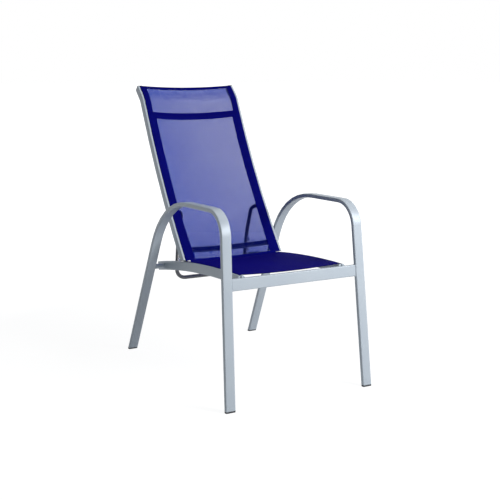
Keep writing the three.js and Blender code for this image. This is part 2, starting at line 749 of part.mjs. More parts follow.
// A rack of hooks on the front of the hoop's shin, one for each setting of the back
function catch_rack() {
  const first = notch_place(0);
  const pitch = (first - notch_place(recline_full)) / (rack_notches - 1);
  const start = first - (rack_notches - 1) * pitch - notch_radius - tooth_thick - tooth_slope;
  const end = first + notch_radius;
  const lip = THREE.MathUtils.radToDeg(Math.asin(tip_lip / notch_radius));
  const outline = [new THREE.Vector2(start - tooth_slope, rack_back)];
  for (let k = rack_notches - 1; k >= 0; k--) {
    const notch = first - k * pitch;
    const roof = notch - notch_radius - tooth_thick;
    outline.push(
      new THREE.Vector2(roof - tooth_slope, rack_front),
      new THREE.Vector2(roof, tip_depth - tip_thick / 2),
      new THREE.Vector2(roof + tip_thick / 2, tip_depth),
      new THREE.Vector2(notch - tip_lip, tip_depth),
      ...arc(notch, notch_depth, notch_radius, 90 + lip, 270, 7),
    );
  }
  outline.push(new THREE.Vector2(end, rack_front), new THREE.Vector2(end, rack_back));
  const placed = outline.map(({ x, y }) => {
    const p = hoop_knee.clone().addScaledVector(shin_way, x).addScaledVector(shin_front, y);
    return new THREE.Vector2(p.y, p.z);
  });
  const share = (first / 2) / hoop_foot.distanceTo(hoop_knee);
  const middle = THREE.MathUtils.lerp(hoop_arm_x, hoop_foot_x, share);
  return plate(shape(placed), middle - rack_thick / 2, middle + rack_thick / 2);
}

function catch_bar() {
  const end = rail_inner + rail_wall;
  return drill(catch_radius, -end, end, catch_bar_axis);
}

// Each group turns about its own pivot, and its pieces are made in the chair's place.
function part_of(parent, pivot) {
  const group = new THREE.Group();
  group.position.copy(pivot);
  parent.add(group);
  return (name, geometry, material) => {
    const mesh = new THREE.Mesh(geometry, material);
    mesh.name = name;
    mesh.position.copy(pivot).negate();
    group.add(mesh);
    return mesh;
  };
}

function pair(add, name, geometry, material) {
  add(name + "_left", geometry, material);
  add(name + "_right", mirrored(geometry), material);
}

const chair = new THREE.Group();
const frame = part_of(chair, new THREE.Vector3());
pair(frame, "side_frame", side_frame(), silver);
pair(frame, "front_foot_plug", foot_plug(false), plastic);
pair(frame, "rear_foot_plug", foot_plug(true), plastic);
frame("front_rail", front_rail(), silver);
pair(frame, "seat_rail", seat_rail(), silver);
pair(frame, "seat_rail_cap", rail_cap(seat_line, seat_rail_tall, seat_rail_length), plastic);
pair(frame, "seat_spline_rod", spline_rod(seat_cloth_rings()), plastic);
frame("seat_sling", sling(seat_cloth_rings(), () => seat_sag), seat_cloth);
frame("catch_bar", catch_bar(), steel);
pair(frame, "rear_spacer", rear_spacer(), silver);
pair(frame, "rear_bolt", bolt(rail_inner, leg_bolt_end - seat_gap, rear_bolt), steel);
pair(frame, "hinge_bolt", bolt(lug_inner, rail_inner + rail_wall + bolt_reach, hinge), steel);

const back = part_of(chair, hinge);
pair(back, "back_rail", back_rail(), silver);
pair(back, "back_rail_cap", rail_cap(back_line, back_rail_deep, back_line.length), plastic);
pair(back, "back_rail_foot", back_rail_foot(), plastic);
pair(back, "hinge_lug", hinge_lug(), silver);
back("upper_crossbar", crossbar(upper_bar_place, upper_bar_radius, rail_inner - seat_gap), silver);
back("lower_crossbar", crossbar(lower_bar_place, lower_bar_radius, lug_inner - seat_gap), silver);
pair(back, "back_spline_rod", cut(spline_rod(back_cloth_rings()), below_back(cap_top + seat_gap)), plastic);
back("back_sling", back_sling(), back_cloth);
pair(back, "hoop_stub", hoop_stub(), steel);

const hoop = part_of(chair, hoop_pivot);
hoop("recline_hoop", recline_hoop(), hoop_paint);
pair(hoop, "catch_rack", catch_rack(), steel);

// The feet and the back's head set the chair's length, and its middle goes over the origin.
const extent = new THREE.Box3().setFromObject(chair);
chair.position.y = -(extent.min.y + extent.max.y) / 2;

export default chair;
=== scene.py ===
import json
import math

import bmesh
import bpy
from mathutils import Matrix, Vector
from mathutils.geometry import convex_hull_2d


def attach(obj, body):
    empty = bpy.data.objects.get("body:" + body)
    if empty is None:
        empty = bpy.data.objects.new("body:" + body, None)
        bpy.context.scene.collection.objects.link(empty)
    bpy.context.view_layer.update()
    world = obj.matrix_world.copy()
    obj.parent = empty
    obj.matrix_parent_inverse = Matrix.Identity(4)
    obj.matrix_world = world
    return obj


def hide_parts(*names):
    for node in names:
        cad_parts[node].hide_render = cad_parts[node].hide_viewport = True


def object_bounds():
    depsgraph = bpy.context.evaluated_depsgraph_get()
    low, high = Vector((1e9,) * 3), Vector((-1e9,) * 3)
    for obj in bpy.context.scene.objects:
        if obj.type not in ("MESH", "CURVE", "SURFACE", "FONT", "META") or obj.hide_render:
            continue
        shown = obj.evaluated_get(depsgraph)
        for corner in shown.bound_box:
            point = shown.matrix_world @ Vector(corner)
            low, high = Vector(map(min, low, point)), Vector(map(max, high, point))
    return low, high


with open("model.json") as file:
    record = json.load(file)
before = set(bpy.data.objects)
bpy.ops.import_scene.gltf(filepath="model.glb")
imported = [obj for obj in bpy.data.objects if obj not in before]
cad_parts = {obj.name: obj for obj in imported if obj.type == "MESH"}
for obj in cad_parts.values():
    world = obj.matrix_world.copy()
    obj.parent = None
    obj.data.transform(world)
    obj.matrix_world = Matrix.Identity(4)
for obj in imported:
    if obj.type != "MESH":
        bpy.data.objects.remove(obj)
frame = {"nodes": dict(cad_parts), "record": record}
cad_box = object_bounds()
nodes = frame["nodes"]
SIDES = {"left": 1, "right": -1}


def placed(name, data):
    """A new object in the scene."""
    made = bpy.data.objects.new(name, data)
    bpy.context.scene.collection.objects.link(made)
    return made


# Sizes are in metres. These repeat the frame's own, for the cloth and for what is sewn and welded on.
RAIL_INNER = 0.193
GROOVE_X = 0.205
GROOVE_DEPTH = 0.0063
BACK_DEEP = 0.0288
SEAT_START = (-0.395007, 0.448)
BACK_STAND = 0.425529
SEAT_CLOTH = (0.0115, 0.4185)
SEAT_TAIL = 0.4400  # of the cloth over the seat rails, under the back rails' feet
CLOTH_LIFT = 0.0090  # of the lower ends of the back cloth's pockets, above the rails' caps
FACE_END = 0.0035  # lower end of the cloth over the rails' faces
BACK_CLOTH_LOW = -0.0090  # along the back, between the seat rails
BACK_CLOTH_HEAD = 0.0015
LUG_INNER = 0.1887
SEAT_SAG = 0.005
BACK_SAG = 0.030
LOWER_BAR, HOOP_PLACE, DEEPEST, UPPER_BAR = 0.056, 0.219, 0.400, 0.634  # along the back
LOWER_BAR_RADIUS, UPPER_BAR_RADIUS = 0.0105, 0.010

# Cloth
CLOTH_THICK = 0.0008
FACE_DEPTH = -0.0016  # of the upper layer's middle, above the rail's face
FOLD_DEPTH = -0.0008  # of the folded edge's middle
STRIP_DEPTH = FOLD_DEPTH + 0.0009  # of the separate hems' and bands' middle
POCKET_RADIUS = 0.003  # of the cloth round the spline rod
SEAM_BAND = (0.6150, 0.6425)  # double cloth over the upper crossbar
HEM_INNER_FOOT = 0.1640
HEM_INNER_LOW = 0.1705  # from where the hem stops growing narrower
HEM_EVEN = 0.25
HEM_INNER_HIGH = 0.181
SEAT_HEM_INNER = 0.171
FOOT_HEM_TOP = 0.0095
END_HEM = 0.012
STITCH_LONG = 0.0031
STITCH_PITCH = 0.0042
THREAD_THICK = 0.00055
SEAM_INSET = 0.003


class Line:
    """A line in the plane of Y and Z, made of runs that each have a length and a turn."""

    def __init__(self, y, z, heading, runs):
        self.runs, self.length = [], 0.0
        for length, turn in runs:
            self.runs.append((self.length, length, turn, y, z, heading))
            y, z = self.along(y, z, heading, length, turn, length)
            heading += turn
            self.length += length

    @staticmethod
    def along(y, z, heading, length, turn, s):
        half = turn * s / length / 2
        chord = s * math.sin(half) / half if half else s
        return y + chord * math.cos(heading + half), z + chord * math.sin(heading + half)

    def heading(self, s):
        start, length, turn, _, _, heading = self.run(s)
        return heading + turn * (s - start) / length

    def run(self, s):
        return next(r for r in reversed(self.runs) if s >= r[0] or r[0] == 0)

    def at(self, x, s, depth=0.0):
        """The point at x across the chair, s along the line and a depth behind it."""
        start, length, turn, y, z, heading = self.run(s)
        y, z = self.along(y, z, heading, length, turn, s - start)
        turned = self.heading(s)
        return Vector((x, y + depth * math.sin(turned), z - depth * math.cos(turned)))

    def outward(self, s):
        turned = self.heading(s)
        return Vector((0, -math.sin(turned), math.cos(turned)))


def evenly(start, end, step):
    count = max(1, math.ceil(abs(end - start) / step))
    return [start + (end - start) * i / count for i in range(count + 1)]


SEAT_FALL = math.radians(0.3)  # at the front rail
SEAT_LONG, SEAT_BOW = 0.8595, 3.4  # along the rail, and the radius of its bow
BACK_RAKE = math.radians(52)  # at the hinge
BACK_LONG, BACK_BOW = 0.667, 3.185
BEFORE_CURL, CURL_RADIUS, CURL_TURN, AFTER_CURL = 0.018, 0.110, math.radians(20.5), 0.042
seat_line = Line(*SEAT_START, -SEAT_FALL, [(SEAT_LONG, -SEAT_LONG / SEAT_BOW)])
back_foot = seat_line.at(0, BACK_STAND)
back_line = Line(
    back_foot.y,
    back_foot.z,
    BACK_RAKE,
    [
        (BACK_LONG, BACK_LONG / BACK_BOW),
        (BEFORE_CURL, 0),
        (CURL_RADIUS * CURL_TURN, -CURL_TURN),
        (AFTER_CURL, 0),
    ],
)
BACK_CLOTH = (BACK_CLOTH_LOW, back_line.length - BACK_CLOTH_HEAD)
SAG_STOPS = (0, LOWER_BAR, HOOP_PLACE, DEEPEST, UPPER_BAR, back_line.length)
SAG_SHARES = (0.27, 0.40, 0.70, 1.00, 0.83, 0.33)


def back_sag(s):
    """How far the back's cloth hangs in its middle: a smooth curve through the shares at the stops."""
    s = min(max(s, SAG_STOPS[0]), SAG_STOPS[-1])
    i = max(k for k in range(len(SAG_STOPS) - 1) if s >= SAG_STOPS[k])

    def slope(k):
        a, b = max(0, k - 1), min(len(SAG_STOPS) - 1, k + 1)
        return (SAG_SHARES[b] - SAG_SHARES[a]) / (SAG_STOPS[b] - SAG_STOPS[a])

    wide = SAG_STOPS[i + 1] - SAG_STOPS[i]
    t = (s - SAG_STOPS[i]) / wide
    ends = SAG_SHARES[i] * (1 + 2 * t) * (1 - t) ** 2 + SAG_SHARES[i + 1] * t * t * (3 - 2 * t)
    return BACK_SAG * (ends + wide * (slope(i) * t * (1 - t) ** 2 - slope(i + 1) * t * t * (1 - t)))


def seat_sag(s):
    return SEAT_SAG


# Camera

camera = placed("camera", bpy.data.cameras.new("camera"))
bpy.context.scene.camera = camera
camera.data.sensor_width = 36
camera.data.lens = 67.839
turn, tilt, roll = (math.radians(a) for a in (-29.5766, 10.9058, 0.26647))
ahead = Vector((-math.sin(turn) * math.cos(tilt), math.cos(turn) * math.cos(tilt), -math.sin(tilt)))
level = Vector((math.cos(turn), math.sin(turn), 0))
above = level.cross(ahead)
across = math.cos(roll) * level + math.sin(roll) * above
upward = math.cos(roll) * above - math.sin(roll) * level
camera.matrix_world = (
    Matrix.Translation((-1.7033096, -3.0927220, 1.1313354))
    @ Matrix((across, upward, -ahead)).transposed().to_4x4()
)


# Materials


class Value:
    """A shader node's output, for sums written with plain operators."""

    def __init__(self, finish, socket):
        self.finish, self.socket = finish, socket

    def sum(self, operation, *others):
        return self.finish.node("Math", {"operation": operation}, dict(enumerate((self, *others))))

    def __add__(self, other):
        return self.sum("ADD", other)

    def __sub__(self, other):
        return self.sum("SUBTRACT", other)

    def __mul__(self, other):
        return self.sum("MULTIPLY", other)

    def __truediv__(self, other):
        return self.sum("DIVIDE", other)

    def __lt__(self, other):
        return self.sum("LESS_THAN", other)

    def __gt__(self, other):
        return self.sum("GREATER_THAN", other)

    def __abs__(self):
        return self.sum("ABSOLUTE")

    def __rsub__(self, other):
        return (self * -1).sum("ADD", other)

    __radd__ = __add__
    __rmul__ = __mul__

    def between(self, low, high):
        """0 below low, 1 above high, and an even rise from one to the other."""
        return self.finish.node("MapRange", {"clamp": True}, {0: self, 1: low, 2: high, 3: 0, 4: 1})


class Finish:
    """The nodes of a material or of the world."""

    def __init__(self, owner):
        owner.use_nodes = True
        self.owner, self.tree = owner, owner.node_tree
        self.tree.nodes.clear()

    def node(self, kind, settings=None, sockets=None, out=0):
        made = self.tree.nodes.new("ShaderNode" + kind)
        for name, value in (settings or {}).items():
            setattr(made, name, value)
        for name, value in (sockets or {}).items():
            if isinstance(value, Value):
                self.tree.links.new(value.socket, made.inputs[name])
            else:
                made.inputs[name].default_value = value
        return Value(self, made.outputs[out]) if made.outputs else None

    def place(self):
        return self.node("TexCoord", out="Object")

    def parts(self, vector):
        split = self.node("SeparateXYZ", sockets={0: vector})
        return [Value(self, split.socket.node.outputs[i]) for i in range(3)]

    def noise(self, vector, scale, detail=2.0, rough=0.5):
        return self.node(
            "TexNoise", sockets={"Vector": vector, "Scale": scale, "Detail": detail, "Roughness": rough}
        )

    def streak(self, along, seed):
        """Noise along one direction only, for yarn that was spun a little thicker or thinner."""
        return self.node(
            "TexNoise", {"noise_dimensions": "1D"}, {"W": along + seed, "Scale": 260.0, "Detail": 2.0}
        ).between(0.3, 0.7)

    def seen(self):
        """1 for the rays that see the white backdrop, 0 for those that carry its light."""
        rays = ("Is Camera Ray", "Is Glossy Ray", "Is Transmission Ray")
        first, second, third = (self.node("LightPath", out=ray) for ray in rays)
        return first.sum("MAXIMUM", second).sum("MAXIMUM", third)

    def mix(self, factor, first, second, blend="MIX"):
        settings = {"data_type": "RGBA", "blend_type": blend}
        return self.node("Mix", settings, {0: factor, 6: first, 7: second}, out=2)

    def tone(self, colour, *levels):
        """The colour times one or more numbers that change over the surface."""
        for value in levels:
            grey = self.node("CombineColor", sockets={0: value, 1: value, 2: value})
            colour = self.mix(1.0, colour, grey, "MULTIPLY")
        return colour

    def bump(self, height, distance, strength):
        return self.node("Bump", sockets={"Height": height, "Distance": distance, "Strength": strength})

    def surface(self, through=None, share=0.0, **sockets):
        """The finished material. The share of its surface that lets light pass gives it the colour through."""
        named = {name.replace("_", " "): value for name, value in sockets.items()}
        shader = self.node("BsdfPrincipled", sockets=named)
        if through:
            passed = self.node("BsdfTransparent", sockets={"Color": colour(*through)})
            shader = self.node("MixShader", sockets={0: share, 1: shader, 2: passed})
        self.node("OutputMaterial", sockets={"Surface": shader})
        return self.owner


def colour(*rgb):
    return (*rgb, 1.0)


SILVER_TONES = ((0.468, 0.532, 0.600), (0.500, 0.560, 0.622))  # in broad soft patches


def silver_coat(name, shade=1.0):
    """Powder coat with fine flake, a faint orange peel, and scuffs near the floor."""
    f = Finish(bpy.data.materials.new(name))
    p = f.place()
    flake = f.noise(p, 2600, 1).between(0.25, 0.75)
    peel = f.noise(p, 420, 2)
    broad = f.noise(p, 7, 2).between(0.3, 0.7)
    height = f.parts(p)[2]
    low = 1 - height.between(0.0, 0.05)
    scuff = f.noise(p, 160, 4, 0.65).between(0.52, 0.7) * low
    base = f.mix(broad, *(colour(*(part * shade for part in rgb)) for rgb in SILVER_TONES))
    base = f.mix(scuff * 0.5, f.tone(base, 0.95 + flake * 0.1), colour(0.25, 0.26, 0.27))
    return f.surface(
        Base_Color=base,
        Metallic=0.12,
        Roughness=0.40 + flake * 0.1 + scuff * 0.2,
        Normal=f.bump(peel, 0.00012, 0.35),
    )


def plated_steel(name):
    """Zinc plate: a faint yellow and blue cast in patches, with fine drawn lines."""
    f = Finish(bpy.data.materials.new(name))
    p = f.place()
    cast = f.noise(p, 60, 2).between(0.35, 0.65)
    fine = f.noise(p, 1800, 3)
    base = f.mix(cast, colour(0.50, 0.51, 0.54), colour(0.56, 0.54, 0.49))
    return f.surface(
        Base_Color=f.tone(base, 0.9 + fine * 0.2),
        Metallic=1.0,
        Roughness=0.28 + fine * 0.2,
        Normal=f.bump(fine, 0.00005, 0.4),
    )


def hoop_coat(name):
    """Darker grey paint on the hoop, thin and bright where the hooks and hands rub it."""
    f = Finish(bpy.data.materials.new(name))
    p = f.place()
    flake = f.noise(p, 2600, 1).between(0.25, 0.75)
    rub = f.noise(p, 90, 4, 0.7).between(0.60, 0.72)
    base = f.tone(colour(0.135, 0.140, 0.155), 0.92 + flake * 0.16)
    return f.surface(
        Base_Color=f.mix(rub * 0.4, base, colour(0.26, 0.265, 0.28)),
        Metallic=0.3,
        Roughness=0.34 + flake * 0.1,
        Normal=f.bump(f.noise(p, 420, 2), 0.00012, 0.35),
    )


def moulded_plastic(name):
    """Dark plastic with a spark-eroded grain, paler where it has rubbed on the floor."""
    f = Finish(bpy.data.materials.new(name))
    p = f.place()
    grain = f.noise(p, 1500, 3, 0.6)
    rub = f.noise(p, 220, 3).between(0.5, 0.7) * (1 - f.parts(p)[2].between(0.0, 0.004))
    base = f.tone(colour(0.035, 0.038, 0.046), 0.85 + grain * 0.3)
    return f.surface(
        Base_Color=f.mix(rub * 0.6, base, colour(0.11, 0.11, 0.11)),
        Roughness=0.5 + grain * 0.2,
        Normal=f.bump(grain, 0.00015, 0.6),
    )


PASSING = 0.70  # share of the yarn's surface that lets light from behind pass


def woven(name, pitch, share, warp, weft, through=None, closed=()):
    """Plain weave of coated yarn on the cloth's own UV, in metres. The yarns' share of the pitch leaves
    holes between them where the cloth is single: inside the hems and outside the closed spans of its length.
    There the yarn also lets light of the colour through pass."""
    f = Finish(bpy.data.materials.new(name))
    u, v, _ = f.parts(f.node("UVMap", {"uv_map": "cloth"}))
    streaks = f.streak(u, 0.0) + f.streak(v, 7.0)
    if through:
        share = share + DENSER_FOOT * (1 - v.between(*DENSER_SPAN)) + (streaks - 1) * UNEVEN_YARN
    across_n, along_n = u / pitch, v / pitch
    column, row = across_n.sum("FLOOR"), along_n.sum("FLOOR")
    a, b = across_n - column - 0.5, along_n - row - 0.5

    def yarn(offset, position, line, swap):
        near = offset * 2 / share
        crown = 1 - near * near
        wave = ((position + line) * math.pi + swap).sum("COSINE")
        return (crown * 0.5 + wave * 0.28 + 0.5) * (crown > 0), crown > 0

    warp_high, warp_on = yarn(a, along_n - 0.5, column, 0.0)
    weft_high, weft_on = yarn(b, across_n - 0.5, row, math.pi)
    height = warp_high.sum("MAXIMUM", weft_high)

    def dyed(rgb, line):
        """The yarn's colour, a little lighter or darker from one yarn to the next."""
        chance = f.node("TexWhiteNoise", {"noise_dimensions": "1D"}, {"W": line})
        return f.tone(colour(*rgb), 0.84 + chance * 0.32)

    own = f.mix(warp_high > weft_high, dyed(weft, row + 0.3), dyed(warp, column + 0.7))
    broad = f.noise(f.place(), 5, 3).between(0.25, 0.75)
    alpha, lit = 1.0, 0.0
    if through:
        single = abs(f.parts(f.node("UVMap", {"uv_map": "hem"}))[0]) < 1
        for low, high in closed:
            single = single * (1 - (v > low) * (v < high))
        covered = warp_on.sum("MAXIMUM", weft_on)
        alpha = 1 - (1 - covered) * single
        lit = covered * single * PASSING
    return f.surface(
        through,
        lit,
        # Painted shade: the yarn's colour is darker where it dips low in the weave, under the crossing yarn
        Base_Color=f.tone(own, 0.62 + height * 0.42, 0.82 + broad * 0.12 + streaks * 0.14),
        Roughness=0.85 + height * -0.12,
        Alpha=alpha,
        Specular_IOR_Level=0.02,
        Normal=f.bump(height, pitch * 0.28, 0.7),
    )


def thread(name, rgb):
    f = Finish(bpy.data.materials.new(name))
    twist = f.noise(f.place(), 2400, 2)
    return f.surface(
        Base_Color=f.tone(colour(*rgb), 0.8 + twist * 0.4),
        Roughness=0.6,
        Specular_IOR_Level=0.25,
        Normal=f.bump(twist, 0.0001, 0.5),
    )


SILVER = silver_coat("silver powder coat")
WELD = silver_coat("silver powder coat on weld", 0.95)
STEEL = plated_steel("zinc plate")
HOOP = hoop_coat("grey hoop paint")
PLASTIC = moulded_plastic("dark moulded plastic")
SEAT_WEAVE = woven("close seat weave", 0.0012, 1.0, (0.0040, 0.0022, 0.180), (0.0034, 0.0018, 0.150))
# What thick and thin yarn changes in the open weave's share, and how much more of it there is low on the back
UNEVEN_YARN = 0.09
DENSER_FOOT, DENSER_SPAN = 0.07, (0.03, 0.22)
BACK_CLOSED = ((-1.0, FOOT_HEM_TOP), SEAM_BAND, (BACK_CLOTH[1] - END_HEM, 2.0))
BACK_PITCH = 0.0016
BACK_WEAVE = woven(
    "open back weave",
    BACK_PITCH,
    share=0.484,
    warp=(0.0030, 0.0036, 0.190),
    weft=(0.0026, 0.0032, 0.165),
    through=(0.075, 0.145, 0.580),
    closed=BACK_CLOSED,
)
BAND_WEAVE = woven("doubled back weave", BACK_PITCH, 1.0, (0.0030, 0.0032, 0.150), (0.0026, 0.0028, 0.130))
THREAD = thread("blue sewing thread", (0.007, 0.006, 0.20))

FINISHES = {
    "frame_silver": SILVER,
    "steel": STEEL,
    "hoop_paint": HOOP,
    "dark_plastic": PLASTIC,
    "seat_cloth": SEAT_WEAVE,
    "back_mesh": BACK_WEAVE,
}


SMALL_PARTS = ("cap", "plug", "lug", "rack", "spacer", "stub", "back_rail_foot")


def smooth_flats(piece, angle=40, soft_edge=0.0):
    """Rounds the shading of bends, keeps flat faces flat and can soften the edges between them."""
    piece.modifiers.new("join", "WELD").merge_threshold = 0.00001
    if soft_edge:
        bevel = piece.modifiers.new("soft edges", "BEVEL")
        bevel.width, bevel.segments, bevel.limit_method = soft_edge, 2, "ANGLE"
        bevel.angle_limit = math.radians(angle)
    split = piece.modifiers.new("edges", "EDGE_SPLIT")
    split.split_angle = math.radians(angle)
    split.use_edge_sharp = False
    piece.modifiers.new("shading", "WEIGHTED_NORMAL").keep_sharp = True


for row in frame["record"]["subparts"]:
    for name in (row["node"],) if isinstance(row["node"], str) else row["node"]:
        node = nodes[name]
        node.data.materials.clear()
        node.data.materials.append(FINISHES[row["material_slot"]])
        node.data.polygons.foreach_set("use_smooth", [True] * len(node.data.polygons))
        smooth_flats(node, soft_edge=0.0004 if any(word in name for word in SMALL_PARTS) else 0.0)


# Cloth


def piece(name, verts, faces, body, slot, material, uvs=None, hems=None):
    """A mesh in the chair's own place that rides on a body."""
    mesh = bpy.data.meshes.new(name)
    mesh.from_pydata([tuple(v) for v in verts], [], faces)
    if uvs:
        layer = mesh.uv_layers.new(name="cloth")
        for loop in mesh.loops:
            layer.data[loop.index].uv = uvs[loop.vertex_index]
    if hems:
        layer = mesh.uv_layers.new(name="hem")
        for loop in mesh.loops:
            layer.data[loop.index].uv = (hems[loop.vertex_index], 0)
    mesh.polygons.foreach_set("use_smooth", [True] * len(mesh.polygons))
    mesh.materials.append(material)
    made = placed(name, mesh)
    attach(made, body)
    return made


def dip(x, sag):
    """How far the cloth's middle hangs behind a straight line from rail to rail."""
    return sag * max(0.0, 1 - (x / RAIL_INNER) ** 2)


FACE_COLUMNS, HEM_COLUMNS, POCKET_STEPS = 17, 4, 12


def half_section(hem_inner, sag):
    """Half of the cloth's cross section as x and depth, from the middle of the face out over the rail,
    round the spline rod and back under itself to the edge of the hem."""
    neck = CLOTH_THICK / 2
    side = math.degrees(math.asin(neck / POCKET_RADIUS))
    columns = [hem_inner * i / FACE_COLUMNS for i in range(FACE_COLUMNS)]
    hem_width = RAIL_INNER - hem_inner
    columns += [hem_inner + hem_width * i / HEM_COLUMNS for i in range(HEM_COLUMNS + 1)]
    face = [(x, FACE_DEPTH + dip(x, sag)) for x in columns]
    over = [(x, FACE_DEPTH) for x in (0.197, 0.201, GROOVE_X - 0.0008)]
    down = [(GROOVE_X + neck * 0.6, FACE_DEPTH + 0.0003), (GROOVE_X + neck, FACE_DEPTH + 0.0012)]
    loop = []
    for i in range(POCKET_STEPS + 1):
        angle = math.radians(-90 + side + (360 - 2 * side) * i / POCKET_STEPS)
        x, depth = POCKET_RADIUS * math.cos(angle), POCKET_RADIUS * math.sin(angle)
        loop.append((GROOVE_X + x, GROOVE_DEPTH + depth))
    up = [(GROOVE_X - neck, FOLD_DEPTH + 0.0007), (GROOVE_X - neck * 2, FOLD_DEPTH)]
    back = [(x, FOLD_DEPTH) for x in (0.200, 0.196)]
    inwards = [RAIL_INNER - hem_width * i / HEM_COLUMNS for i in range(HEM_COLUMNS + 1)]
    hem = [(x, FOLD_DEPTH + dip(x, sag)) for x in inwards]
    return face + over + down + loop + up + back + hem


def sling(name, line, sag_at, hem_at, stops, body, slot, material, gone):
    """The cloth, swept along a line, without the places that gone picks by their column, x and s."""
    half_count = len(half_section(hem_at(stops[0]), 0))
    verts, uvs, hems, left_out = [], [], [], []
    for s in stops:
        hem = hem_at(s)
        half = half_section(hem, sag_at(s))
        flat = [0.0]
        for (x0, d0), (x1, d1) in zip(half, half[1:]):
            flat.append(flat[-1] + math.hypot(x1 - x0, d1 - d0))
        for sign in (-1, 1):
            order = range(half_count - 1, 0, -1) if sign < 0 else range(half_count)
            for i in order:
                x, depth = half[i]
                verts.append(line.at(sign * x, s, depth))
                uvs.append((sign * flat[i], s))
                hems.append(sign * flat[i] / flat[column_of(half, hem)])
                left_out.append(gone(i, x, s))
    wide = 2 * half_count - 1
    faces = [
        (r * wide + i, r * wide + i + 1, (r + 1) * wide + i + 1, (r + 1) * wide + i)
        for r in range(len(stops) - 1)
        for i in range(wide - 1)
    ]
    faces = [face for face in faces if not any(left_out[v] for v in face)]
    made = piece(name, verts, faces, body, slot, material, uvs, hems=hems)
    loose = bmesh.new()
    loose.from_mesh(made.data)
    bmesh.ops.delete(loose, geom=[v for v in loose.verts if not v.link_faces], context="VERTS")
    loose.to_mesh(made.data)
    loose.free()
    return made, 2 * flat[-1]


def column_of(half, hem):
    """The column of the cloth's face that lies at the hem's inner edge."""
    return min(range(len(half) // 2), key=lambda i: abs(half[i][0] - hem))


def strip(name, line, wide, span, sag_at, body, slot, material):
    """A flat band of cloth behind the face, closed all round, between two places along the line."""
    columns, stops = evenly(-wide, wide, 0.008), evenly(*span, 0.004)
    verts, uvs, faces = [], [], []
    half = CLOTH_THICK * 0.35
    for layer in (-half, half):
        for s in stops:
            for x in columns:
                verts.append(line.at(x, s, STRIP_DEPTH + layer + dip(x, sag_at(s))))
                uvs.append((x, s))
    c, r = len(columns), len(stops)

    def top(i, j):
        return j * c + i

    def low(i, j):
        return (r + j) * c + i

    for j in range(r - 1):
        for i in range(c - 1):
            faces.append((top(i, j), top(i + 1, j), top(i + 1, j + 1), top(i, j + 1)))
            faces.append((low(i, j), low(i, j + 1), low(i + 1, j + 1), low(i + 1, j)))
    rim = [(i, 0) for i in range(c)] + [(c - 1, j) for j in range(1, r)]
    rim += [(i, r - 1) for i in range(c - 2, -1, -1)] + [(0, j) for j in range(r - 2, 0, -1)]
    for a, b in zip(rim, rim[1:] + rim[:1]):
        faces.append((top(*b), top(*a), low(*a), low(*b)))
    return piece(name, verts, faces, body, slot, material, uvs)


MESH_THICK = 0.00055


def thicken(cloth, thick):
    """Gives the single cloth its thickness, so that its holes close when seen at an angle."""
    modifier = cloth.modifiers.new("thick", "SOLIDIFY")
    modifier.thickness, modifier.offset, modifier.use_rim = thick, 0, True


def back_hem(s):
    if s > SEAM_BAND[0]:
        return HEM_INNER_HIGH
    share = min(1.0, max(0.0, s / HEM_EVEN))
    return HEM_INNER_FOOT + (HEM_INNER_LOW - HEM_INNER_FOOT) * share


def seat_hem(s):
    return SEAT_HEM_INNER


back_stops = sorted(
    [BACK_CLOTH[0], BACK_CLOTH[0] / 2, -0.001, FACE_END, 0.005, CLOTH_LIFT]
    + evenly(FOOT_HEM_TOP + 0.002, SEAM_BAND[0] - 0.001, 0.012)
    + evenly(SEAM_BAND[0], 0.686, 0.008)
    + evenly(0.688, 0.726, 0.003)
    + evenly(0.730, BACK_CLOTH[1], 0.009)
)
seat_stops = evenly(*SEAT_CLOTH, 0.012) + evenly(SEAT_CLOTH[1] + 0.005, SEAT_TAIL, 0.006)
OVER_RAIL = FACE_COLUMNS + HEM_COLUMNS + 5  # columns before the pocket starts: the face, and five over the rail
RIM = 0.0015  # left beside the hinge lugs


def beyond_seat(column, x, s):
    """Behind the seat's own rear edge only what lies over the rails goes on, under the back rails' feet."""
    return s > SEAT_CLOTH[1] + 0.0001 and (x < LUG_INNER or column >= OVER_RAIL)


def below_back(column, x, s):
    """Low on the back the pockets end above the rails' caps, the face over the rails just above the seat,
    and the middle goes on between the seat rails."""
    if column >= OVER_RAIL:
        return s < CLOTH_LIFT
    return s < FACE_END and x > LUG_INNER - RIM


seat_cloth, seat_flat = sling(
    "seat_cloth", seat_line, seat_sag, seat_hem, seat_stops, "frame", "seat_cloth", SEAT_WEAVE, beyond_seat
)
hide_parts("seat_sling")
back_cloth, back_flat = sling(
    "back_cloth", back_line, back_sag, back_hem, back_stops, "back", "back_mesh", BACK_WEAVE, below_back
)
thicken(back_cloth, MESH_THICK)
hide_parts("back_sling")

HEM_WIDE = 0.1925  # half widths of the strips
TAIL_WIDE = LUG_INNER - 0.002
BAND_WIDE = 0.1795
seat_ends = [
    strip(name, seat_line, HEM_WIDE, span, seat_sag, "frame", "seat_cloth", SEAT_WEAVE)
    for name, span in (
        ("seat_front_hem", (SEAT_CLOTH[0] + 0.0005, SEAT_CLOTH[0] + END_HEM)),
        ("seat_rear_hem", (SEAT_CLOTH[1] - END_HEM, SEAT_CLOTH[1] - 0.0005)),
    )
]
back_ends = [
    strip(name, back_line, wide, span, back_sag, "back", "back_mesh", BAND_WEAVE)
    for name, wide, span in (
        ("back_foot_hem", TAIL_WIDE, (BACK_CLOTH[0] + 0.0005, FOOT_HEM_TOP)),
        ("back_head_hem", HEM_WIDE, (BACK_CLOTH[1] - END_HEM, BACK_CLOTH[1] - 0.0005)),
        ("back_seam_band", BAND_WIDE, SEAM_BAND),
    )
]


# What repeats along a line: stitches and the ripples of weld beads


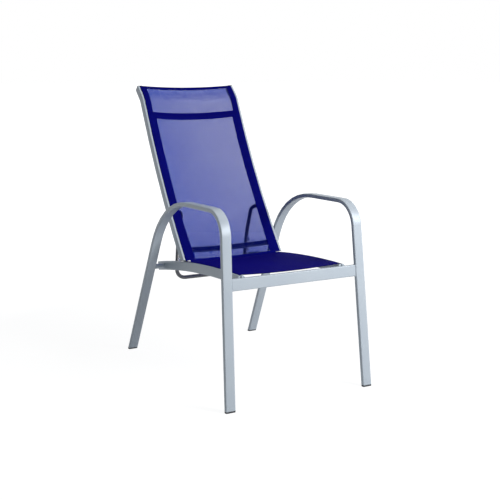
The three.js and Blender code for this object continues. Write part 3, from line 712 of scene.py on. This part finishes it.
def repeating_tree():
    """Copies of a small piece, evenly spaced along edges and turned to the direction that is kept in the
    attribute up."""
    tree = bpy.data.node_groups.new("set along a line", "GeometryNodeTree")
    for name, kind in (
        ("Line", "NodeSocketGeometry"),
        ("Piece", "NodeSocketObject"),
        ("Spacing", "NodeSocketFloat"),
        ("Finish", "NodeSocketMaterial"),
    ):
        tree.interface.new_socket(name, in_out="INPUT", socket_type=kind)
    tree.interface.new_socket("Made", in_out="OUTPUT", socket_type="NodeSocketGeometry")

    def add(kind, settings=None, **links):
        made = tree.nodes.new(kind)
        for name, value in (settings or {}).items():
            setattr(made, name, value)
        for name, value in links.items():
            socket = made.inputs[name.replace("_", " ")]
            if isinstance(value, bpy.types.NodeSocket):
                tree.links.new(value, socket)
            else:
                socket.default_value = value
        return made

    given = add("NodeGroupInput").outputs
    curve = add("GeometryNodeMeshToCurve", Mesh=given["Line"]).outputs["Curve"]
    points = add("GeometryNodeCurveToPoints", {"mode": "LENGTH"}, Curve=curve, Length=given["Spacing"]).outputs
    kept = add("GeometryNodeInputNamedAttribute", {"data_type": "FLOAT_VECTOR"}, Name="up")
    align = "FunctionNodeAlignRotationToVector"
    lined = add(align, {"axis": "X"}, Vector=points["Tangent"]).outputs["Rotation"]
    turned = add(
        align, {"axis": "Z", "pivot_axis": "X"}, Rotation=lined, Vector=kept.outputs["Attribute"]
    ).outputs["Rotation"]
    small = add("GeometryNodeObjectInfo", Object=given["Piece"], As_Instance=True).outputs["Geometry"]
    copies = add(
        "GeometryNodeInstanceOnPoints", Points=points["Points"], Instance=small, Rotation=turned
    ).outputs["Instances"]
    real = add("GeometryNodeRealizeInstances", Geometry=copies).outputs["Geometry"]
    painted = add("GeometryNodeSetMaterial", Geometry=real, Material=given["Finish"]).outputs["Geometry"]
    tree.links.new(painted, add("NodeGroupOutput").inputs["Made"])
    return tree


REPEATING = repeating_tree()


def bead(name, long, wide, tall, sides=8, rings=5):
    """A small closed bead, longest along X, with its flat middle at the origin."""
    made = bmesh.new()
    bmesh.ops.create_uvsphere(made, u_segments=sides, v_segments=rings, radius=0.5)
    bmesh.ops.rotate(made, verts=made.verts, cent=(0, 0, 0), matrix=Matrix.Rotation(math.pi / 2, 3, "Y"))
    bmesh.ops.scale(made, verts=made.verts, vec=(long, wide, tall))
    mesh = bpy.data.meshes.new(name)
    made.to_mesh(mesh)
    made.free()
    mesh.polygons.foreach_set("use_smooth", [True] * len(mesh.polygons))
    return bpy.data.objects.new(name, mesh)


def set_along(name, runs, small, spacing, body, material):
    """Small pieces along runs, each run a list of points and the directions that point out there."""
    verts, edges, ups = [], [], []
    for run in runs:
        start = len(verts)
        for point, up in run:
            verts.append(tuple(point))
            ups.extend(up)
        edges += [(i, i + 1) for i in range(start, len(verts) - 1)]
    base = bpy.data.meshes.new(name)
    base.from_pydata(verts, edges, [])
    base.attributes.new("up", "FLOAT_VECTOR", "POINT").data.foreach_set("vector", ups)
    guide = placed(name + "_line", base)
    modifier = guide.modifiers.new("repeat", "NODES")
    modifier.node_group = REPEATING
    sockets = {item.name: item.identifier for item in REPEATING.interface.items_tree}
    modifier[sockets["Piece"]] = small
    modifier[sockets["Spacing"]] = spacing
    modifier[sockets["Finish"]] = material
    evaluated = guide.evaluated_get(bpy.context.evaluated_depsgraph_get())
    mesh = bpy.data.meshes.new_from_object(evaluated)
    mesh.name = name
    bpy.data.objects.remove(guide)
    made = placed(name, mesh)
    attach(made, body)
    return made


STITCH = bead("stitch", STITCH_LONG, THREAD_THICK, THREAD_THICK)
STITCH_DEPTH = FACE_DEPTH - CLOTH_THICK * 0.05
FROM_EDGE = 0.0025  # from a hem's or band's edge to its seam across
SEAM_WIDE, BAND_SEAM_WIDE = 0.190, 0.178  # half lengths of the seams across


def seam_along(line, sign, hem_at, span, sag_at):
    """A row of stitches just outside the hem's inner edge, on the cloth's face."""
    run = []
    for s in evenly(*span, 0.01):
        x = sign * (hem_at(s) + SEAM_INSET)
        run.append((line.at(x, s, STITCH_DEPTH + dip(x, sag_at(s))), line.outward(s)))
    return run


def seam_across(line, s, wide, sag_at):
    return [
        (line.at(x, s, STITCH_DEPTH + dip(x, sag_at(s))), line.outward(s))
        for x in evenly(-wide, wide, 0.01)
    ]


seat_seams = [seam_along(seat_line, sign, seat_hem, SEAT_CLOTH, seat_sag) for sign in (1, -1)]
seat_seams += [
    seam_across(seat_line, s, SEAM_WIDE, seat_sag)
    for s in (SEAT_CLOTH[0] + END_HEM - FROM_EDGE, SEAT_CLOTH[1] - END_HEM + FROM_EDGE)
]
back_seams = []
for sign in (1, -1):
    for part in ((BACK_CLOTH[0], SEAM_BAND[0]), (SEAM_BAND[1], BACK_CLOTH[1])):
        back_seams.append(seam_along(back_line, sign, back_hem, part, back_sag))
back_seams += [
    seam_across(back_line, s, wide, back_sag)
    for s, wide in (
        (FOOT_HEM_TOP - FROM_EDGE, TAIL_WIDE),
        (BACK_CLOTH[1] - END_HEM + FROM_EDGE, SEAM_WIDE),
        (SEAM_BAND[0] + FROM_EDGE, BAND_SEAM_WIDE),
        (SEAM_BAND[1] - FROM_EDGE, BAND_SEAM_WIDE),
    )
]
seat_stitches = set_along("seat_stitches", seat_seams, STITCH, STITCH_PITCH, "frame", THREAD)
back_stitches = set_along("back_stitches", back_seams, STITCH, STITCH_PITCH, "back", THREAD)


# Weld beads, on the corners where two tubes or plates meet

FRONT_LEAN = math.radians(6.3)
LEG_THICK = 0.015
HOOP_PIVOT = Vector((0, 0.172557, 0.586455))
HOOP_KNEE = HOOP_PIVOT + Vector((0, 0.034, -0.098))
SHIN = Vector((0, 0.025, -0.177)).normalized()
SHIN_FRONT = Vector((0, SHIN.z, -SHIN.y))
WELD_RIPPLE = bead("weld_ripple", 0.0030, 0.0044, 0.0026)
SMALL_RIPPLE = bead("small_weld_ripple", 0.0022, 0.0032, 0.0020)
RIPPLE_PITCH, SMALL_RIPPLE_PITCH = 0.0018, 0.0013
SAME_FACE = 0.0003  # points this near to a face's plane belong to it


def corners(name):
    node = nodes[name]
    return [node.matrix_world @ v.co for v in node.data.vertices]


def behind_leg(p):
    """How far a point lies behind the front legs' faces."""
    foot = cad_box[0][1]
    return (p.y - foot - p.z * math.tan(FRONT_LEAN)) * math.cos(FRONT_LEAN)


def around(points, flat, wall, keep=lambda p: True):
    """Runs along the outline of points that lie in a plane, with directions that halve the corner between
    the piece and the wall that it stands on. flat gives a point's two places in that plane."""
    hull = [points[i] for i in convex_hull_2d([flat(p) for p in points])]
    centre = sum(hull, Vector()) / len(hull)
    loop = []
    for a, b in zip(hull, hull[1:] + hull[:1]):
        count = max(1, round((b - a).length / 0.002))
        loop += [a.lerp(b, i / count) for i in range(count)]
    runs, run = [], []
    for p in loop + loop[:1]:
        if keep(p):
            run.append((p, ((p - centre).normalized() + wall).normalized()))
        elif run:
            runs.append(run)
            run = []
    return [r for r in (*runs, run) if len(r) > 2]


def ring_of(centre, radius, wall):
    turns = [math.radians(10 * i) for i in range(37)]
    spokes = [Vector((0, math.cos(a), math.sin(a))) for a in turns]
    return [(centre + radius * spoke, (spoke + wall).normalized()) for spoke in spokes]


def place_on_back(p):
    """The place along the back and the depth behind it of a point."""
    s = min(evenly(0, 0.16, 0.001), key=lambda s: (back_line.at(p.x, s) - p).length)
    return s, -(p - back_line.at(p.x, s)).dot(back_line.outward(s))


def on_back_rail(p):
    s, depth = place_on_back(p)
    return 0.001 < depth < BACK_DEEP - 0.001 and s > 0.012


frame_welds, back_welds, hoop_welds = [], [], []
for side, sign in SIDES.items():
    inwards = Vector((-sign, 0, 0))
    ends = [p for p in corners("front_rail") if sign * p.x > 0]
    frame_welds += around(ends, lambda p: (p.y, p.z), inwards, lambda p: behind_leg(p) < LEG_THICK)
    rail = corners(f"seat_rail_{side}")
    front = min(behind_leg(p) for p in rail)
    mouth = [p for p in rail if behind_leg(p) < front + SAME_FACE]
    top = max(p.z for p in mouth)
    frame_welds += around(mouth, lambda p: (p.x, p.z), Vector((0, 1, 0)), lambda p: p.z < top - 0.004)
    for place, radius, wall in (
        (UPPER_BAR, UPPER_BAR_RADIUS, RAIL_INNER),
        (LOWER_BAR, LOWER_BAR_RADIUS, LUG_INNER),
    ):
        centre = back_line.at(sign * (wall - 0.0004), place, BACK_DEEP / 2)
        back_welds.append(ring_of(centre, radius, inwards))
    lug = [p for p in corners(f"hinge_lug_{side}") if sign * p.x > LUG_INNER + 0.002]
    back_welds += around(lug, lambda p: (p.y, p.z), inwards, on_back_rail)
    rack = corners(f"catch_rack_{side}")
    shin = [((p - HOOP_KNEE).dot(SHIN), (p - HOOP_KNEE).dot(SHIN_FRONT)) for p in rack]
    foot = min(depth for _, depth in shin)
    held = [t for t, depth in shin if depth < foot + SAME_FACE]
    for x in (min(p.x for p in rack), max(p.x for p in rack)):
        outwards = Vector((math.copysign(1, x - sum(p.x for p in rack) / len(rack)), 0, 0))
        up = (outwards + SHIN_FRONT * 0.4).normalized()
        places = evenly(min(held), max(held), 0.01)
        hoop_welds.append([(HOOP_KNEE + Vector((x, 0, 0)) + SHIN * t + SHIN_FRONT * foot, up) for t in places])
set_along("frame_welds", frame_welds, WELD_RIPPLE, RIPPLE_PITCH, "frame", WELD)
set_along("back_welds", back_welds, WELD_RIPPLE, RIPPLE_PITCH, "back", WELD)
set_along("hoop_welds", hoop_welds, SMALL_RIPPLE, SMALL_RIPPLE_PITCH, "hoop", HOOP)


# Bolts with a hex socket, which replace the frame's plain ones

BOLT_SIDES = 24
SOCKET = 0.0025  # from its middle to its flats
SOCKET_DEEP = 0.0024
SOCKET_RIM = 0.0003  # wide, round its mouth
HEAD_TALL = 0.0045
HEAD_FORM = ((0.62, 0.0), (0.80, 0.0006), (0.93, 0.0016), (1.0, 0.0030), (1.0, 0.0041), (0.96, HEAD_TALL))
SHANK = 0.004  # radius
SHANK_TIP = 0.001


def hexagon(angle):
    return SOCKET / math.cos((angle + math.pi / 6) % (math.pi / 3) - math.pi / 6)


def socket_bolt(name, body):
    """A domed bolt in the place and the size of the frame's own: head inwards, shank outwards."""
    own = corners(name)
    sign = math.copysign(1, own[0].x)
    crown, end = min(sign * p.x for p in own), max(sign * p.x for p in own)
    y = (min(p.y for p in own) + max(p.y for p in own)) / 2
    z = (min(p.z for p in own) + max(p.z for p in own)) / 2
    head = (max(p.y for p in own) - min(p.y for p in own)) / 2
    turns = [2 * math.pi * k / BOLT_SIDES for k in range(BOLT_SIDES)]
    socket = [hexagon(a) for a in turns]
    mouth = [radius + SOCKET_RIM for radius in socket]
    rows = [(socket, crown + SOCKET_DEEP), (socket, crown + SOCKET_RIM / 2), (mouth, crown)]
    round_rows = [(head * share, crown + depth) for share, depth in HEAD_FORM]
    round_rows += [(SHANK, crown + HEAD_TALL), (SHANK, end - SHANK_TIP), (SHANK * 0.75, end)]
    rows += [([radius] * BOLT_SIDES, x) for radius, x in round_rows]
    verts, faces = [], []
    for radii, x in rows:
        for a, radius in zip(turns, radii):
            verts.append((sign * x, y + radius * math.cos(a), z + radius * math.sin(a)))
    for r in range(len(rows) - 1):
        for k in range(BOLT_SIDES):
            n = (k + 1) % BOLT_SIDES
            near, far = r * BOLT_SIDES, (r + 1) * BOLT_SIDES
            ring = (near + k, near + n, far + n, far + k)
            faces.append(ring if sign < 0 else ring[::-1])
    first, last = list(range(BOLT_SIDES)), [(len(rows) - 1) * BOLT_SIDES + k for k in range(BOLT_SIDES)]
    faces += [first[::-1], last] if sign < 0 else [first, last[::-1]]
    made = piece(name + "_socket", verts, faces, body, "steel", STEEL)
    smooth_flats(made, 32)
    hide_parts(name)


for side in SIDES:
    for kind in ("rear_bolt", "hinge_bolt"):
        socket_bolt(f"{kind}_{side}", "frame")


# Floor, world and lights


FLOOR_HALF = 60
FLOOR_WHITE = 1.25
SHADOW_SHARE = 0.25  # of the near floor that takes light and shadow as a plain floor does


def stage_plane():
    mesh = bpy.data.meshes.new("floor")
    around_it = ((-1, -1), (1, -1), (1, 1), (-1, 1))
    mesh.from_pydata([(x * FLOOR_HALF, y * FLOOR_HALF, 0) for x, y in around_it], [], [(0, 1, 2, 3)])
    floor = placed("floor", mesh)
    f = Finish(bpy.data.materials.new("pale floor"))
    place = f.place()
    speck = f.noise(place, 40, 2)
    far = f.node("VectorMath", {"operation": "LENGTH"}, {0: place}, out="Value").between(1.2, 3.0)
    plain = f.node("BsdfDiffuse", sockets={"Color": f.tone(colour(0.8, 0.8, 0.8), 0.98 + speck * 0.04)})
    white = f.node("Emission", sockets={"Color": colour(1, 1, 1), "Strength": FLOOR_WHITE})
    share = f.seen() * ((1 - SHADOW_SHARE) + far * SHADOW_SHARE)
    f.node("OutputMaterial", sockets={"Surface": f.node("MixShader", sockets={0: share, 1: plain, 2: white})})
    mesh.materials.append(f.owner)


stage_plane()
world = bpy.data.worlds.new("studio")
bpy.context.scene.world = world
room = Finish(world)
AMBIENT = 0.112
soft = room.node("Background", sockets={"Color": colour(0.80, 0.905, 1.0), "Strength": AMBIENT})
white = room.node("Background", sockets={"Color": colour(1, 1, 1), "Strength": 1.0})
backdrop = room.node("MixShader", sockets={0: room.seen(), 1: soft, 2: white})
room.node("OutputWorld", sockets={"Surface": backdrop})


def softbox(name, place, aim, size, watts):
    light = bpy.data.lights.new(name, "AREA")
    light.shape = "DISK"
    light.size, light.energy = size, watts
    lamp = placed(name, light)
    lamp.location = place
    lamp.rotation_mode = "QUATERNION"
    lamp.rotation_quaternion = (Vector(aim) - Vector(place)).to_track_quat("-Z", "Y")


CHAIR_MIDDLE = (0, 0, 0.5)
softbox("key", (1.9, -2.9, 2.1), CHAIR_MIDDLE, size=1.8, watts=112)
softbox("top", (0.9, 0.3, 3.6), CHAIR_MIDDLE, size=2.4, watts=17)

bpy.context.scene.view_settings.view_transform = "Standard"
